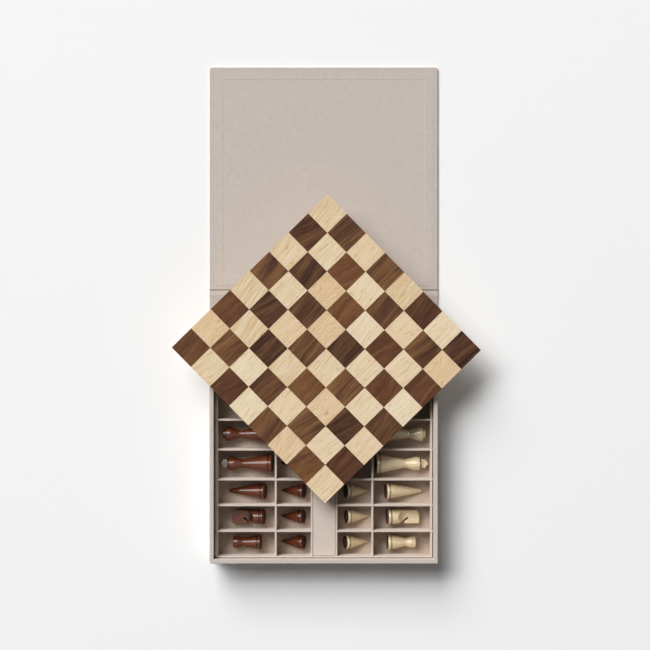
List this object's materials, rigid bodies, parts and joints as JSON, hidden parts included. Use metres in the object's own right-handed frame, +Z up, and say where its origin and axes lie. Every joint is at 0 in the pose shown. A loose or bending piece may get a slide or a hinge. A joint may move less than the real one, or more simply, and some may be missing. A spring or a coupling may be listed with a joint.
{
  "type": "chess box",
  "caption": "Book-style cloth-covered chess case lying open: hinged lid and spine, tray with a divided insert holding turned chess pieces, and a wooden chessboard laid across the rims.",
  "frame": {"origin": "on the table, under the middle of the tray", "axes": "+X right, +Y from the tray towards the open lid, +Z up"},
  "size_m": [0.4096, 0.6707, 0.0573],
  "materials": {
    "cloth_covered_board": "greyboard wrapped in taupe bookcloth, matte",
    "bookcloth": "taupe bookcloth, plain weave",
    "lining_cloth": "taupe lining, matte",
    "insert_board": "card covered in taupe cloth, matte",
    "board_core": "fibreboard core, lipped and sanded",
    "light_veneer": "maple veneer, satin lacquer",
    "dark_veneer": "walnut veneer, satin lacquer",
    "dark_wood": "red-brown stained, gloss lacquer",
    "light_wood": "boxwood, gloss lacquer",
    "felt": "dark brown felt"
  },
  "bodies": {
    "tray": {"base_board": "cloth_covered_board", "centre_panel": "insert_board", "channel_walls": "insert_board", "dark_queen": "dark_wood", "dark_rear_felts": "felt", "dark_rear_officers": "dark_wood", "dark_rear_pawns": "dark_wood", "front_wall": "cloth_covered_board", "insert_end_walls": "insert_board", "insert_side_walls": "insert_board", "left_cross_dividers": "insert_board", "left_wall": "cloth_covered_board", "light_queen": "light_wood", "light_rear_felts": "felt", "light_rear_officers": "light_wood", "light_rear_pawns": "light_wood", "long_dividers": "insert_board", "rear_wall": "cloth_covered_board", "right_cross_dividers": "insert_board", "right_wall": "cloth_covered_board", "spine_hinge_cloth": "bookcloth", "tray_floor": "insert_board"},
    "spine": {"spine_board": "cloth_covered_board", "lid_hinge_cloth": "bookcloth"},
    "lid": {"lid_board": "cloth_covered_board", "lid_lining": "lining_cloth"},
    "board": {"board_core": "board_core", "light_squares": "light_veneer", "dark_squares": "dark_veneer"},
    "dark_king": {"dark_king": "dark_wood", "dark_king_felt": "felt", "dark_king_finial": "dark_wood"},
    "dark_bishop": {"dark_bishop": "dark_wood", "dark_bishop_felt": "felt"},
    "dark_knight": {"dark_knight": "dark_wood", "dark_knight_felt": "felt"},
    "dark_rook": {"dark_rook": "dark_wood", "dark_rook_felt": "felt"},
    "dark_first_pawn": {"dark_first_pawn": "dark_wood", "dark_first_pawn_felt": "felt"},
    "dark_second_pawn": {"dark_second_pawn": "dark_wood", "dark_second_pawn_felt": "felt"},
    "dark_third_pawn": {"dark_third_pawn": "dark_wood", "dark_third_pawn_felt": "felt"},
    "light_king": {"light_king": "light_wood", "light_king_felt": "felt", "light_king_finial": "light_wood"},
    "light_bishop": {"light_bishop": "light_wood", "light_bishop_felt": "felt"},
    "light_knight": {"light_knight": "light_wood", "light_knight_felt": "felt"},
    "light_rook": {"light_rook": "light_wood", "light_rook_felt": "felt"},
    "light_first_pawn": {"light_first_pawn": "light_wood", "light_first_pawn_felt": "felt"},
    "light_second_pawn": {"light_second_pawn": "light_wood", "light_second_pawn_felt": "felt"},
    "light_third_pawn": {"light_third_pawn": "light_wood", "light_third_pawn_felt": "felt"}
  },
  "joints": [
    {"name": "spine_fold", "type": "hinge", "parent": "tray", "child": "spine", "pos_m": [0, 0.1556, 0.0002], "axis": [-1, 0, 0], "range_deg": [-90, 0], "deforming": ["spine_hinge_cloth"]},
    {"name": "lid_fold", "type": "hinge", "parent": "spine", "child": "lid", "pos_m": [0, 0.2061, 0.0002], "axis": [-1, 0, 0], "range_deg": [-90, 0], "deforming": ["lid_hinge_cloth"]},
    {"name": "board_lift", "type": "slide", "parent": "tray", "child": "board", "axis": [0, -0.866, 0.5], "range_m": [0, 0.63]},
    {"name": "dark_king_lift", "type": "slide", "parent": "tray", "child": "dark_king", "axis": [0, 0, 1], "range_m": [0, 0.07]},
    {"name": "dark_bishop_lift", "type": "slide", "parent": "tray", "child": "dark_bishop", "axis": [0, 0, 1], "range_m": [0, 0.07]},
    {"name": "dark_knight_lift", "type": "slide", "parent": "tray", "child": "dark_knight", "axis": [0, 0, 1], "range_m": [0, 0.07]},
    {"name": "dark_rook_lift", "type": "slide", "parent": "tray", "child": "dark_rook", "axis": [0, 0, 1], "range_m": [0, 0.07]},
    {"name": "dark_first_pawn_lift", "type": "slide", "parent": "tray", "child": "dark_first_pawn", "axis": [0, 0, 1], "range_m": [0, 0.07]},
    {"name": "dark_second_pawn_lift", "type": "slide", "parent": "tray", "child": "dark_second_pawn", "axis": [0, 0, 1], "range_m": [0, 0.07]},
    {"name": "dark_third_pawn_lift", "type": "slide", "parent": "tray", "child": "dark_third_pawn", "axis": [0, 0, 1], "range_m": [0, 0.07]},
    {"name": "light_king_lift", "type": "slide", "parent": "tray", "child": "light_king", "axis": [0, 0, 1], "range_m": [0, 0.07]},
    {"name": "light_bishop_lift", "type": "slide", "parent": "tray", "child": "light_bishop", "axis": [0, 0, 1], "range_m": [0, 0.07]},
    {"name": "light_knight_lift", "type": "slide", "parent": "tray", "child": "light_knight", "axis": [0, 0, 1], "range_m": [0, 0.07]},
    {"name": "light_rook_lift", "type": "slide", "parent": "tray", "child": "light_rook", "axis": [0, 0, 1], "range_m": [0, 0.07]},
    {"name": "light_first_pawn_lift", "type": "slide", "parent": "tray", "child": "light_first_pawn", "axis": [0, 0, 1], "range_m": [0, 0.07]},
    {"name": "light_second_pawn_lift", "type": "slide", "parent": "tray", "child": "light_second_pawn", "axis": [0, 0, 1], "range_m": [0, 0.07]},
    {"name": "light_third_pawn_lift", "type": "slide", "parent": "tray", "child": "light_third_pawn", "axis": [0, 0, 1], "range_m": [0, 0.07]}
  ],
  "couplings": [
    {"joint": "spine_fold", "follows": "board_lift", "rad_per_m": -2.4933},
    {"joint": "lid_fold", "follows": "board_lift", "rad_per_m": -2.4933}
  ]
}
